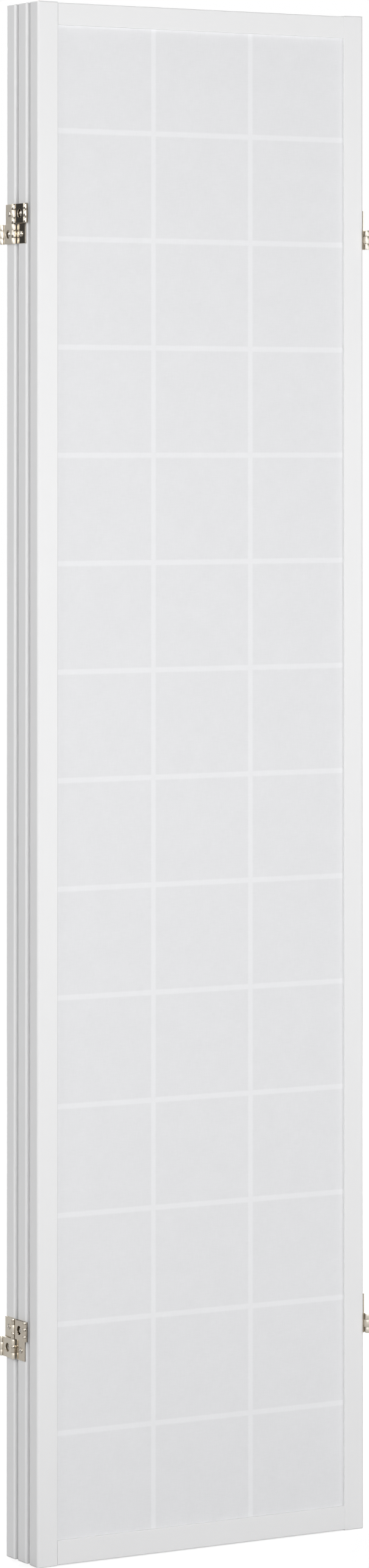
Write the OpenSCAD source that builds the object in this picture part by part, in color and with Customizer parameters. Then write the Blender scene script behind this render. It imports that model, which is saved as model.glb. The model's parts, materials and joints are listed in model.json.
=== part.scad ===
// Three-panel folding screen, shown folded flat, standing on its stiles.
// Millimetres. +X runs to the right along the panels, +Y away from the viewer, +Z up.
// The origin is on the floor, under the middle of the folded stack.
// Panels are numbered 0 front, 1 middle, 2 rear. The left hinges join the rear and
// middle panels, and the right hinges join the middle and front panels.

/* [Panels] */
// Width of one panel over its stiles
panel_w = 440; // [380:5:520]
// Height of one panel, floor to top
panel_h = 1790; // [1500:10:1900]
// Thickness of a panel's frame
panel_t = 20; // [18:0.5:24]
// Clear space between two folded panels
panel_gap = 8; // [7:0.5:12]

/* [Frame] */
// Face width of a stile
stile_w = 26.5; // [24:0.5:36]
// Face height of the top rail
top_rail_h = 25.5; // [24:0.5:36]
// Face height of the bottom rail
bottom_rail_h = 28; // [24:0.5:40]
// How far each rail stops short of the ends of the stiles
rail_step = 1; // [0.5:0.25:3]
// Radius of the long outer edges of a stile
edge_r = 2.5; // [1:0.25:4]
// Radius of the inner edges round the opening, and of the rails' edges
inner_r = 1; // [0.5:0.25:1.5]
// Radius at the outer corner of a stile's foot
foot_r = 2.5; // [1:0.25:4]
// Radius of the other edges at a stile's ends
end_r = 1.2; // [0.5:0.1:2]

/* [Lattice and paper] */
// Columns of squares across a panel
columns = 3; // [2:1:4]
// Rows of squares up a panel
rows = 14; // [10:1:15]
// Face width of a lattice bar
bar_w = 6; // [5:0.5:8]
// Depth of a lattice bar, front to back
bar_d = 8; // [6:0.5:9]
// Radius of the long edges of a lattice bar
bar_ease = 0.6; // [0.2:0.1:1]
// How far a bar's end reaches into the frame
bar_tenon = 5; // [4:0.5:7]
// Thickness of the paper
paper_t = 0.4; // [0.3:0.1:0.8]
// How far the paper lies behind the face of the frame
paper_set_back = 3; // [2:0.25:5]
// How far the paper's edge reaches into its slit
paper_tuck = 4; // [3:0.5:6]

/* [Dowels] */
// Diameter of a dowel
dowel_d = 6; // [5:0.5:8]
// Length of a dowel
dowel_l = 36; // [30:1:38]
// Distance between the two dowels of one joint
dowel_spacing = 13; // [12:0.5:14]

/* [Hinges] */
// Distance from a panel's end to the middle of the nearer hinge
hinge_from_end = 254; // [150:2:400]
// Height of one half of a hinge
hinge_half_h = 22.6; // [20:0.2:30]
// Space between the two halves of a hinge
half_gap = 0.8; // [0.6:0.1:2]
// Thickness of the hinge sheet
sheet_t = 1.2; // [1:0.1:1.4]
// Diameter of a hinge pin
pin_d = 3.5; // [3.4:0.1:4.2]
// Height of a leaf's knuckle
leaf_knuckle_h = 8.6; // [7:0.2:10]
// Diameter of the hole in a link that clears a screw head
link_hole_d = 10; // [8.5:0.5:12]

/* [Screws] */
// Diameter of a screw's shank
screw_d = 3.5; // [3:0.1:4]
// Length of a screw under its head
screw_l = 16; // [12:1:19]
// Length of a screw's point
screw_point = 4; // [3:0.5:6]
// Diameter of a screw's head
screw_head_d = 6.5; // [6:0.1:7.5]
// Height of the dome on a screw's head
head_dome_h = 0.8; // [0.5:0.1:1]
// Length of one arm of the cross recess, end to end
recess_l = 3.6; // [3:0.1:4.4]
// Width of one arm of the cross recess
recess_w = 0.8; // [0.6:0.1:1]
// Depth of the cross recess
recess_depth = 1; // [0.6:0.1:1.2]

/* [Clearances] */
// Room behind the end of a bar, a dowel or the paper's edge
end_room = 0.5; // [0.3:0.1:1]
// Radial room round a dowel and round a screw in the wood
wood_play = 0.05; // [0.02:0.01:0.1]
// Room in front of the paper in its slit
slit_play = 0.1; // [0.05:0.05:0.3]
// Radial room of a pin in a leaf's knuckle
pin_fit = 0.05; // [0.02:0.01:0.1]
// Radial room of a screw in the hole of a leaf
leaf_hole_play = 0.1; // [0.05:0.05:0.3]
// Room between neighbouring knuckles along a pin
knuckle_gap = 0.2; // [0.1:0.05:0.3]
// Room between a barrel and the sheet that turns past it
barrel_room = 0.6; // [0.5:0.1:0.9]
// Room between two screw heads that face each other with the hinge opened flat
head_room = 0.4; // [0.3:0.1:0.8]
// How far a leaf stays back from the outer face of the panel
leaf_set_back = 0.4; // [0.2:0.1:1]
// Width of the seam where a knuckle's roll closes
seam_w = 0.2; // [0.1:0.05:0.3]

/* [Hidden] */
$fn = 48;

FRONT = 0;
MIDDLE = 1;
REAR = 2;
LEFT = -1;
RIGHT = 1;
UPPER = 1;
LOWER = -1;

// Small overshoot that carries a cut past the surface it opens
past = 1;

paint = [0.93, 0.93, 0.92];
paper_white = [0.96, 0.96, 0.94];
bare_wood = [0.85, 0.72, 0.52];
nickel = [0.72, 0.70, 0.66];
pin_steel = [0.60, 0.59, 0.57];

// Panels
pitch = panel_t + panel_gap;
rail_l = panel_w - 2 * stile_w;
opening_lo = rail_step + bottom_rail_h;
opening_hi = panel_h - rail_step - top_rail_h;
opening_w = rail_l;
opening_h = opening_hi - opening_lo;

// Lattice and paper: depths in a panel whose paper faces -Y and whose middle is at 0
paper_front = -panel_t / 2 + paper_set_back;
paper_back = paper_front + paper_t;
cell_w = (opening_w - (columns - 1) * bar_w) / columns;
cell_h = (opening_h - (rows - 1) * bar_w) / rows;
function upright_x(i) = -opening_w / 2 + (i + 1) * cell_w + i * bar_w;
function bar_z(i) = opening_lo + (i + 1) * cell_h + i * bar_w;
upright_places = [for (i = [0 : columns - 2]) upright_x(i)];
bar_places = [for (i = [0 : rows - 2]) bar_z(i)];
mortise_depth = bar_tenon + end_room;
slit_depth = paper_tuck + end_room;

// Dowels
dowel_hole_depth = dowel_l / 2 + end_room;
dowel_chamfer = dowel_d / 8;

// Hinges, in a leaf's own axes: X out of the panel's edge, Y towards the neighbour
// that shares the inner pin, Z up from the middle of the hinge
pin_r = pin_d / 2;
barrel_r = pin_r + pin_fit + sheet_t;
axis_x = barrel_r;
axis_y = pitch / 2;
link_knuckle_h = (hinge_half_h - leaf_knuckle_h) / 2 - knuckle_gap;
half_middle = (hinge_half_h + half_gap) / 2;
hinge_h = 2 * hinge_half_h + half_gap;
pin_reach = barrel_r + barrel_room;
leaf_inner = axis_y - pin_reach;
leaf_outer = panel_t / 2 - leaf_set_back;
pin_chamfer = pin_d / 10;

// Screws
screw_head_h = axis_x - sheet_t - head_room / 2;
screw_head_r = screw_head_d / 2;
head_sphere_r = (screw_head_r * screw_head_r + head_dome_h * head_dome_h) / (2 * head_dome_h);
pilot_depth = screw_l - sheet_t + end_room;

function panel_y(p) = (p - 1) * pitch;
function hinge_z(level) = level == UPPER ? panel_h - hinge_from_end : hinge_from_end;

// Sides of a panel that carry hinges
function hinged_sides(p) = p == FRONT ? [RIGHT] : p == REAR ? [LEFT] : [LEFT, RIGHT];

// Rectangle from the origin with a radius of its own at each corner,
// in the order bottom left, bottom right, top right, top left
module rounded_outline(w, h, radii) {
    difference() {
        square([w, h]);
        corner_waste(radii[0]);
        translate([w, 0]) mirror([1, 0]) corner_waste(radii[1]);
        translate([w, h]) rotate(180) corner_waste(radii[2]);
        translate([0, h]) mirror([0, 1]) corner_waste(radii[3]);
    }
}

// What a radius takes away at a corner whose sides run along +X and +Y
module corner_waste(r) {
    difference() {
        translate([-past, -past]) square(r + past);
        translate([r, r]) circle(r);
    }
}

// Puts a piece drawn at y = 0, with the paper facing -Y, into its panel.
// The middle panel's paper faces the back.
module in_panel(p) {
    translate([0, panel_y(p), 0])
        if (p == MIDDLE) mirror([0, 1, 0]) children();
        else children();
}

// A left-hand piece, or its mirror image on the right
module on_side(side) {
    if (side == LEFT) children();
    else mirror([1, 0, 0]) children();
}

// Wooden frame

// Left stile: rounded bar with the paper slit, mortises for the bars, dowel holes
// and, where the panel is hinged, pilot holes for the screws
module stile(p, side) {
    color(paint)
    in_panel(p) on_side(side) difference() {
        stile_blank();
        stile_slit();
        for (z = bar_places) translate([0, 0, z]) stile_mortise();
        dowel_places() dowel_hole();
        if (len([for (s = hinged_sides(p)) if (s == side) s]) > 0) stile_pilots();
    }
}

module stile_blank() {
    translate([-panel_w / 2, 0, 0])
    intersection() {
        translate([0, -panel_t / 2, 0])
            linear_extrude(panel_h)
                rounded_outline(stile_w, panel_t, [edge_r, inner_r, inner_r, edge_r]);
        translate([0, panel_t / 2, 0]) rotate([90, 0, 0])
            linear_extrude(panel_t)
                rounded_outline(stile_w, panel_h, [foot_r, inner_r, inner_r, end_r]);
        translate([0, -panel_t / 2, 0]) rotate([90, 0, 90])
            linear_extrude(stile_w)
                rounded_outline(panel_t, panel_h, [end_r, end_r, end_r, end_r]);
    }
}

module stile_slit() {
    translate([-opening_w / 2 - slit_depth, paper_front - slit_play, opening_lo - slit_depth])
        cube([slit_depth + past, paper_t + slit_play, opening_h + 2 * slit_depth]);
}

module stile_mortise() {
    translate([-opening_w / 2 - mortise_depth, paper_back, 0])
        cube([mortise_depth + past, bar_d, bar_w]);
}

// Pilot holes for the screws of one panel's edge
module stile_pilots() {
    for (level = [UPPER, LOWER], half = [UPPER, LOWER])
        translate([-panel_w / 2 - past, 0, hinge_z(level) + half * half_middle])
            rotate([0, 90, 0])
                cylinder(h = pilot_depth + past, r = screw_d / 2 + wood_play);
}

// Rail: rounded bar between the stiles, with the paper slit along its inner edge,
// mortises for the uprights and dowel holes in its ends.
// A rail is drawn with its inner edge down and is turned over for the bottom.
module rail(p, level) {
    h = level == UPPER ? top_rail_h : bottom_rail_h;
    color(paint)
    in_panel(p)
    difference() {
        rail_in_place(level) difference() {
            translate([-rail_l / 2, -panel_t / 2, 0]) rotate([90, 0, 90])
                linear_extrude(rail_l)
                    rounded_outline(panel_t, h, [inner_r, inner_r, inner_r, inner_r]);
            translate([-rail_l / 2 - past, paper_front - slit_play, -past])
                cube([rail_l + 2 * past, paper_t + slit_play, slit_depth + past]);
            for (x = upright_places)
                translate([x, paper_back, -past])
                    cube([bar_w, bar_d, mortise_depth + past]);
        }
        for (side = [LEFT, RIGHT]) on_side(side) dowel_places() dowel_hole();
    }
}

// Moves a rail drawn from z = 0 upwards to its opening edge
module rail_in_place(level) {
    if (level == UPPER) translate([0, 0, opening_hi]) children();
    else translate([0, 0, opening_lo]) mirror([0, 0, 1]) children();
}

// Dowels

// The four dowels at the left stile: two in each rail
module dowel_places() {
    for (z = [opening_lo - bottom_rail_h / 2, opening_hi + top_rail_h / 2], k = [-1, 1])
        translate([-opening_w / 2, 0, z + k * dowel_spacing / 2])
            rotate([0, 90, 0]) children();
}

module dowel_hole() {
    cylinder(h = 2 * dowel_hole_depth, r = dowel_d / 2 + wood_play, center = true);
}

module dowel() {
    straight = dowel_l - 2 * dowel_chamfer;
    cylinder(h = straight, d = dowel_d, center = true);
    for (end = [0, 1]) mirror([0, 0, end])
        translate([0, 0, straight / 2])
            cylinder(h = dowel_chamfer, d1 = dowel_d, d2 = dowel_d - 2 * dowel_chamfer);
}

module dowels(p) {
    color(bare_wood)
    in_panel(p)
    for (side = [LEFT, RIGHT]) on_side(side) dowel_places() dowel();
}

// Lattice: half-lapped bars. Where two cross, the upright keeps the half away from
// the paper and the cross bar keeps the half next to it.

// Section of a lattice bar, its long edges eased
module bar_section(w, h) {
    rounded_outline(w, h, [bar_ease, bar_ease, bar_ease, bar_ease]);
}

module lattice_uprights(p) {
    color(paint)
    in_panel(p)
    for (x = upright_places) difference() {
        translate([x, paper_back, opening_lo - bar_tenon])
            linear_extrude(opening_h + 2 * bar_tenon) bar_section(bar_w, bar_d);
        for (z = bar_places)
            translate([x - past, paper_back - past, z])
                cube([bar_w + 2 * past, bar_d / 2 + past, bar_w]);
    }
}

module lattice_bars(p) {
    color(paint)
    in_panel(p)
    for (z = bar_places) difference() {
        translate([-opening_w / 2 - bar_tenon, paper_back, z]) rotate([90, 0, 90])
            linear_extrude(opening_w + 2 * bar_tenon) bar_section(bar_d, bar_w);
        for (x = upright_places)
            translate([x, paper_back + bar_d / 2, z - past])
                cube([bar_w, bar_d / 2 + past, bar_w + 2 * past]);
    }
}

module paper(p) {
    color(paper_white)
    in_panel(p)
    translate([-opening_w / 2 - paper_tuck, paper_front, opening_lo - paper_tuck])
        cube([opening_w + 2 * paper_tuck, paper_t, opening_h + 2 * paper_tuck]);
}

// Hinges
// Each hinge has two like leaves and two like links. A leaf carries one inner knuckle
// in one half and one outer knuckle in the other. A link crosses its panel's edge over
// the half with the outer knuckle, and shares the inner pin with the other leaf.
// The outer panel's leaf has its inner knuckle in the upper half, and the middle
// panel's leaf is the same piece turned upside down.

// Places the outer panel's side of a hinge: the rear panel on the left,
// or the front panel on the right
module outer_panel_side(side, level) {
    rotate([0, 0, side == RIGHT ? 180 : 0])
        translate([-panel_w / 2, pitch, hinge_z(level)])
            rotate([0, 0, 180]) children();
}

// Places the middle panel's side of a hinge
module middle_panel_side(side, level) {
    rotate([0, 0, side == RIGHT ? 180 : 0])
        translate([-panel_w / 2, 0, hinge_z(level)])
            rotate([0, 180, 0]) children();
}

// Section of hinge sheet bent round the origin, the middle of its thickness at the
// given radius, from one angle to a greater one
module bent_sheet(radius, from, to) {
    steps = ceil((to - from) / 45);
    far = 3 * radius;
    intersection() {
        difference() {
            circle(radius + sheet_t / 2);
            circle(radius - sheet_t / 2);
        }
        polygon(concat([[0, 0]], [
            for (i = [0 : steps])
                let (turn = from + (to - from) * i / steps)
                    far * [cos(turn), sin(turn)]
        ]));
    }
}

// Leaf: plate on the panel's edge, inner knuckle above, outer knuckle below
module leaf() {
    translate([sheet_t / 2, 0, 0])
    difference() {
        rotate([0, 90, 0]) linear_extrude(sheet_t, center = true)
            translate([-hinge_h / 2, -leaf_outer])
                square([hinge_h, leaf_outer + leaf_inner]);
        for (half = [UPPER, LOWER])
            translate([0, 0, half * half_middle]) rotate([0, 90, 0])
                cylinder(h = sheet_t + 2 * past, r = screw_d / 2 + leaf_hole_play, center = true);
    }
    translate([axis_x, axis_y, half_middle]) leaf_knuckle(axis_y - leaf_inner);
    translate([axis_x, -axis_y, -half_middle]) mirror([0, 1, 0]) leaf_knuckle(axis_y - leaf_outer);
}

// Knuckle of a leaf, the pin's axis at the origin. The sheet comes straight in from -Y
// on the leaf's own plane and rolls on round the pin until it nearly meets itself.
module leaf_knuckle(reach) {
    closing = acos((barrel_r - sheet_t - seam_w) / barrel_r);
    linear_extrude(leaf_knuckle_h, center = true) {
        translate([-barrel_r, -reach]) square([sheet_t, reach]);
        bent_sheet(barrel_r - sheet_t / 2, closing - 180, 180);
    }
}

// Link: flat bar with a rolled knuckle at the top and bottom of each end,
// cut back in between for the leaves' knuckles, and a hole that clears the screw head
module link() {
    bar_edge = axis_y - pin_reach;
    translate([axis_x, 0, -half_middle]) {
        difference() {
            cube([sheet_t, 2 * bar_edge, hinge_half_h], center = true);
            rotate([0, 90, 0]) cylinder(h = sheet_t + 2 * past, d = link_hole_d, center = true);
        }
        for (end = [0, 1], up = [0, 1])
            mirror([0, end, 0]) mirror([0, 0, up])
                translate([0, axis_y, hinge_half_h / 2 - link_knuckle_h])
                    link_knuckle();
    }
}

// Knuckle of a link, the pin's axis at the origin. The bar ends in line with the pin.
// There its sheet bends aside on a neck that touches the roll, and rolls round the pin.
// The neck's centre is its radius beside the bar's end, and as far from the pin as the
// radii of neck and roll together.
module link_knuckle() {
    roll_r = pin_r + sheet_t / 2;
    neck_r = (pin_reach * pin_reach - roll_r * roll_r) / (2 * roll_r);
    touching = atan2(pin_reach, neck_r);
    closing = acos((sheet_t / 2 + seam_w) / (roll_r + sheet_t / 2));
    linear_extrude(link_knuckle_h) {
        translate([-neck_r, -pin_reach]) bent_sheet(neck_r, 0, touching);
        bent_sheet(roll_r, -closing, 180 + touching);
    }
}

// Pins, standing in the knuckles of a link
module pin(h) {
    straight = h - 2 * pin_chamfer;
    cylinder(h = straight, r = pin_r, center = true);
    for (end = [0, 1]) mirror([0, 0, end])
        translate([0, 0, straight / 2])
            cylinder(h = pin_chamfer, r1 = pin_r, r2 = pin_r - pin_chamfer);
}

// Pins on which the outer panel's links turn about the middle panel
module fold_pins(side) {
    color(pin_steel)
    for (level = [UPPER, LOWER])
        outer_panel_side(side, level)
            translate([axis_x, axis_y, -half_middle]) pin(hinge_half_h);
}

// Pins on which the outer panel turns about its links
module swing_pins(side) {
    color(pin_steel)
    for (level = [UPPER, LOWER])
        outer_panel_side(side, level)
            translate([axis_x, -axis_y, -half_middle]) pin(hinge_half_h);
}

// Pins on which the middle panel's links turn about the middle panel
module middle_link_pins(side) {
    color(pin_steel)
    for (level = [UPPER, LOWER])
        middle_panel_side(side, level)
            translate([axis_x, -axis_y, -half_middle]) pin(hinge_half_h);
}

// The ends of the pins that the middle panel's links share with the outer panel's
// leaves. Each stays in its link's knuckle, so this pivot is open.
module stub_pins(side) {
    color(pin_steel)
    for (level = [UPPER, LOWER], up = [-1, 1])
        middle_panel_side(side, level)
            translate([axis_x, axis_y,
                       -half_middle + up * (hinge_half_h - link_knuckle_h) / 2])
                pin(link_knuckle_h);
}

module outer_leaf(side, level) {
    color(nickel) outer_panel_side(side, level) leaf();
}

module middle_leaf(side, level) {
    color(nickel) middle_panel_side(side, level) leaf();
}

module outer_link(side, level) {
    color(nickel) outer_panel_side(side, level) link();
}

module middle_link(side, level) {
    color(nickel) middle_panel_side(side, level) link();
}

// Screws: pan head with a low dome and a cross recess, and a pointed shank.
// A screw is drawn pointing down -X with its head's seat at x = 0.
module screw() {
    rotate([0, 90, 0]) {
        difference() {
            intersection() {
                cylinder(h = screw_head_h, r = screw_head_r);
                translate([0, 0, screw_head_h - head_sphere_r]) sphere(head_sphere_r);
            }
            for (turn = [0, 90]) rotate(turn)
                translate([-recess_l / 2, -recess_w / 2, screw_head_h - recess_depth])
                    cube([recess_l, recess_w, recess_depth + past]);
        }
        translate([0, 0, screw_point - screw_l])
            cylinder(h = screw_l - screw_point, r = screw_d / 2);
        translate([0, 0, -screw_l])
            cylinder(h = screw_point, r1 = screw_d / 10, r2 = screw_d / 2);
    }
}

// The screws of one leaf
module leaf_screws() {
    for (half = [UPPER, LOWER])
        translate([sheet_t, 0, half * half_middle]) screw();
}

module outer_screws(side) {
    color(nickel)
    for (level = [UPPER, LOWER]) outer_panel_side(side, level) leaf_screws();
}

module middle_screws() {
    color(nickel)
    for (side = [LEFT, RIGHT], level = [UPPER, LOWER])
        middle_panel_side(side, level) leaf_screws();
}

stile(FRONT, LEFT);  // front_left_stile
stile(FRONT, RIGHT);  // front_right_stile
rail(FRONT, UPPER);  // front_top_rail
rail(FRONT, LOWER);  // front_bottom_rail
lattice_uprights(FRONT);  // front_lattice_uprights
lattice_bars(FRONT);  // front_lattice_bars
paper(FRONT);  // front_paper
dowels(FRONT);  // front_dowels
stile(MIDDLE, LEFT);  // middle_left_stile
stile(MIDDLE, RIGHT);  // middle_right_stile
rail(MIDDLE, UPPER);  // middle_top_rail
rail(MIDDLE, LOWER);  // middle_bottom_rail
lattice_uprights(MIDDLE);  // middle_lattice_uprights
lattice_bars(MIDDLE);  // middle_lattice_bars
paper(MIDDLE);  // middle_paper
dowels(MIDDLE);  // middle_dowels
stile(REAR, LEFT);  // rear_left_stile
stile(REAR, RIGHT);  // rear_right_stile
rail(REAR, UPPER);  // rear_top_rail
rail(REAR, LOWER);  // rear_bottom_rail
lattice_uprights(REAR);  // rear_lattice_uprights
lattice_bars(REAR);  // rear_lattice_bars
paper(REAR);  // rear_paper
dowels(REAR);  // rear_dowels
outer_leaf(LEFT, UPPER);  // left_upper_rear_leaf
middle_leaf(LEFT, UPPER);  // left_upper_middle_leaf
outer_link(LEFT, UPPER);  // left_upper_rear_link
middle_link(LEFT, UPPER);  // left_upper_middle_link
outer_leaf(LEFT, LOWER);  // left_lower_rear_leaf
middle_leaf(LEFT, LOWER);  // left_lower_middle_leaf
outer_link(LEFT, LOWER);  // left_lower_rear_link
middle_link(LEFT, LOWER);  // left_lower_middle_link
outer_leaf(RIGHT, UPPER);  // right_upper_front_leaf
middle_leaf(RIGHT, UPPER);  // right_upper_middle_leaf
outer_link(RIGHT, UPPER);  // right_upper_front_link
middle_link(RIGHT, UPPER);  // right_upper_middle_link
outer_leaf(RIGHT, LOWER);  // right_lower_front_leaf
middle_leaf(RIGHT, LOWER);  // right_lower_middle_leaf
outer_link(RIGHT, LOWER);  // right_lower_front_link
middle_link(RIGHT, LOWER);  // right_lower_middle_link
fold_pins(LEFT);  // left_fold_pins
swing_pins(LEFT);  // left_swing_pins
middle_link_pins(LEFT);  // left_middle_link_pins
stub_pins(LEFT);  // left_stub_pins
fold_pins(RIGHT);  // right_fold_pins
swing_pins(RIGHT);  // right_swing_pins
middle_link_pins(RIGHT);  // right_middle_link_pins
stub_pins(RIGHT);  // right_stub_pins
outer_screws(RIGHT);  // front_hinge_screws
middle_screws();  // middle_hinge_screws
outer_screws(LEFT);  // rear_hinge_screws
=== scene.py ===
"""Folding screen of three white paper panels, folded flat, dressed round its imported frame.

The wooden frames, the lattice, the dowels and the pins are the frame's own nodes with
painted, wooden and steel finishes. The paper, the hinge leaves and links and the screws
are new surfaces, worked out here and seated on those nodes. All lengths are in metres.
"""

import json
import logging
import math
from dataclasses import dataclass, field
from enum import Enum

import bpy
import numpy as np
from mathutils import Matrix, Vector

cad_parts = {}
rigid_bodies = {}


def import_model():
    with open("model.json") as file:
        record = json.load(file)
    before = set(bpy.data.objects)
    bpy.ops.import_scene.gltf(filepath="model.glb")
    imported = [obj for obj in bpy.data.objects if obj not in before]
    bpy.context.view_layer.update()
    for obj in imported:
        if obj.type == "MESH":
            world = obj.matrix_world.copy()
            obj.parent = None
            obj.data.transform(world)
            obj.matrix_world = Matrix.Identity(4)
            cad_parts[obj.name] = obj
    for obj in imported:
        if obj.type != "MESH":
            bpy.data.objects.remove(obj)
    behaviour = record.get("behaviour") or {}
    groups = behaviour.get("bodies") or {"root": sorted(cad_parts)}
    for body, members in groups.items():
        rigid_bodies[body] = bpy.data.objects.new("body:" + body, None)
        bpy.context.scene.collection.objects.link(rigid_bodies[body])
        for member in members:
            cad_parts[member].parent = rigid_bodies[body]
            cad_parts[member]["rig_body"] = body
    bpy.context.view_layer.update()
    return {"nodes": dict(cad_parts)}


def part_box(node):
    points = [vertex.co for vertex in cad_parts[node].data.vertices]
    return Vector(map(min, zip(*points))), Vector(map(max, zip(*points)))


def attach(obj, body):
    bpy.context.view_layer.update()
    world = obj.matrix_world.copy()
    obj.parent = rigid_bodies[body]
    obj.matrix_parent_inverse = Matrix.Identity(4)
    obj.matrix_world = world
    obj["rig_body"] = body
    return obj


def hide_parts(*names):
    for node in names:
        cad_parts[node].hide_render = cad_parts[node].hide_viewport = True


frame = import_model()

log = logging.getLogger("folding_screen")

Pair = tuple[float, float]
Triple = tuple[float, float, float]
Quad = tuple[float, float, float, float]
Material = bpy.types.Material
Socket = bpy.types.NodeSocket

MM = 0.001
QUARTER = math.pi / 2
# Steps of a rounded edge, as angles through its quarter turn
EASE_TURNS = np.linspace(0.0, QUARTER, 3)
# Share of its ease that a corner keeps where its outline is drawn in
LEAST_EASE = 0.1
# Angle between two faces above which the edge between them is sharp
SHARP_FROM = math.radians(38.0)


class PanelName(Enum):
    """The three panels, from the viewer backwards."""

    FRONT = "front"
    MIDDLE = "middle"
    REAR = "rear"


class Side(Enum):
    """The side of the folded stack that a hinge is on, with its direction along X."""

    LEFT = -1
    RIGHT = 1

    @property
    def word(self) -> str:
        """The side's word in the names of nodes."""
        return self.name.lower()

    @property
    def outer_panel(self) -> PanelName:
        """The panel that this side's hinges join to the middle one."""
        return PanelName.REAR if self is Side.LEFT else PanelName.FRONT


class Level(Enum):
    """The upper and the lower hinge of a side."""

    UPPER = "upper"
    LOWER = "lower"


class Grain(Enum):
    """The direction in which a board or a bar runs, as the stretch of its grain."""

    UPRIGHT = (1.0, 1.0, 0.04)
    ACROSS = (0.04, 1.0, 1.0)


# Surfaces


@dataclass
class Surface:
    """Points in metres, with the four-sided and three-sided faces between them."""

    points: np.ndarray
    quads: np.ndarray
    triangles: np.ndarray

    def placed(self, seat: "Seat") -> "Surface":
        """The same surface moved to a seat."""
        return Surface(seat.carry(self.points), self.quads, self.triangles)

    def signed_volume(self) -> float:
        """Volume inside a closed surface, below zero if its faces point inwards.

        It is a sixth of the sum, over all triangles, of the triple product of the
        corners.

        Returns:
            The volume in cubic metres.
        """
        halves = [self.triangles, self.quads[:, [0, 1, 2]], self.quads[:, [0, 2, 3]]]
        a, b, c = np.moveaxis(self.points[np.concatenate(halves)], 1, 0)
        return float(np.einsum("ij,ij->i", a, np.cross(b, c)).sum() / 6)

    def outward(self) -> "Surface":
        """The same closed surface with its faces pointing outwards."""
        if self.signed_volume() >= 0:
            return self
        return Surface(self.points, self.quads[:, ::-1], self.triangles[:, ::-1])


def joined(parts: list[Surface]) -> Surface:
    """Puts several surfaces into one.

    Args:
        parts: closed surfaces that stay separate shells.

    Returns:
        One surface with every part's points and faces.
    """
    starts = np.cumsum([0] + [len(part.points) for part in parts[:-1]])
    return Surface(
        np.concatenate([part.points for part in parts]),
        np.concatenate([part.quads + start for part, start in zip(parts, starts)]),
        np.concatenate([part.triangles + start for part, start in zip(parts, starts)]),
    )


def lofted(rings: np.ndarray, closed: bool = False) -> Surface:
    """Surface through a row of closed rings.

    Point j of ring i is joined to point j + 1 and to the same point of ring i + 1. At an
    open end the ring is filled by a fan of triangles round its mean point.

    Args:
        rings: array of rings by points by three.
        closed: whether the last ring is joined to the first.

    Returns:
        The closed surface, facing outwards.
    """
    count, around = rings.shape[:2]
    row = np.arange(count if closed else count - 1)[:, None]
    column = np.arange(around)[None, :]
    next_row, next_column = (row + 1) % count, (column + 1) % around
    corners = [
        row * around + column,
        next_row * around + column,
        next_row * around + next_column,
        row * around + next_column,
    ]
    quads = np.stack(corners, axis=-1).reshape(-1, 4)
    points = rings.reshape(-1, 3)
    triangles = np.zeros((0, 3), int)
    if not closed:
        start = np.arange(around)
        after = (start + 1) % around
        last = (count - 1) * around
        hub = np.full(around, len(points))
        triangles = np.concatenate([
            np.stack([start, after, hub], axis=-1),
            np.stack([after + last, start + last, hub + 1], axis=-1),
        ])
        points = np.concatenate([points, rings[[0, -1]].mean(axis=1)])
    return Surface(points, quads, triangles).outward()


@dataclass(frozen=True)
class Seat:
    """A place and a turn that carry a piece from its own axes into the frame."""

    turn: np.ndarray
    place: np.ndarray

    @staticmethod
    def at(x: float, y: float, z: float) -> "Seat":
        """A seat that moves a piece without turning it."""
        return Seat(np.eye(3), np.array([x, y, z]))

    def carry(self, points: np.ndarray) -> np.ndarray:
        """The points turned, then moved."""
        return points @ self.turn.T + self.place

    def after(self, first: "Seat") -> "Seat":
        """The seat that carries by first and then by this one."""
        return Seat(self.turn @ first.turn, self.turn @ first.place + self.place)


def rounded_section(thickness: float, height: float, ease: float, inset: float) -> np.ndarray:
    """Outline of a sheet's edge-on section, a rectangle with rounded corners.

    Each corner's points are its centre plus ease times the cosine and sine of the turn.

    Args:
        thickness: size across the sheet.
        height: size along the other direction.
        ease: radius of the corners.
        inset: how far the whole outline is drawn in, for a rounded end.

    Returns:
        Array of points by two, across and along, anticlockwise.
    """
    radius = max(ease - inset, LEAST_EASE * ease)
    half_t, half_h = thickness / 2 - inset - radius, height / 2 - inset - radius
    corner = np.repeat(np.arange(4), len(EASE_TURNS))
    turn = np.tile(EASE_TURNS, 4) + corner * QUARTER
    across = np.array([half_t, -half_t, -half_t, half_t])[corner]
    along = np.array([half_h, half_h, -half_h, -half_h])[corner]
    return np.stack([across + radius * np.cos(turn), along + radius * np.sin(turn)], axis=-1)


@dataclass(frozen=True)
class SheetPath:
    """The line that bent sheet metal follows in the XY plane, with its directions."""

    points: np.ndarray
    tangents: np.ndarray

    @staticmethod
    def straight(start: Pair, end: Pair) -> "SheetPath":
        """A straight stretch from start to end."""
        points = np.array([start, end])
        ahead = points[1] - points[0]
        return SheetPath(points, np.tile(ahead / np.linalg.norm(ahead), (2, 1)))

    @staticmethod
    def arc(centre: Pair, radius: float, start: float, end: float, steps: int) -> "SheetPath":
        """A stretch of a circle: centre plus radius times cosine and sine of the angle.

        Args:
            centre: middle of the circle.
            radius: its radius.
            start: first angle, in radians.
            end: last angle; below start the path runs clockwise.
            steps: number of points.

        Returns:
            The path from the first angle to the last.
        """
        angle = np.linspace(start, end, steps)
        spoke = np.stack([np.cos(angle), np.sin(angle)], axis=-1)
        ahead = np.stack([-spoke[:, 1], spoke[:, 0]], axis=-1) * np.sign(end - start)
        return SheetPath(np.array(centre) + radius * spoke, ahead)

    def then(self, following: "SheetPath") -> "SheetPath":
        """This path carried on by another that starts where this one ends."""
        return SheetPath(
            np.concatenate([self.points, following.points[1:]]),
            np.concatenate([self.tangents, following.tangents[1:]]),
        )


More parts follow.
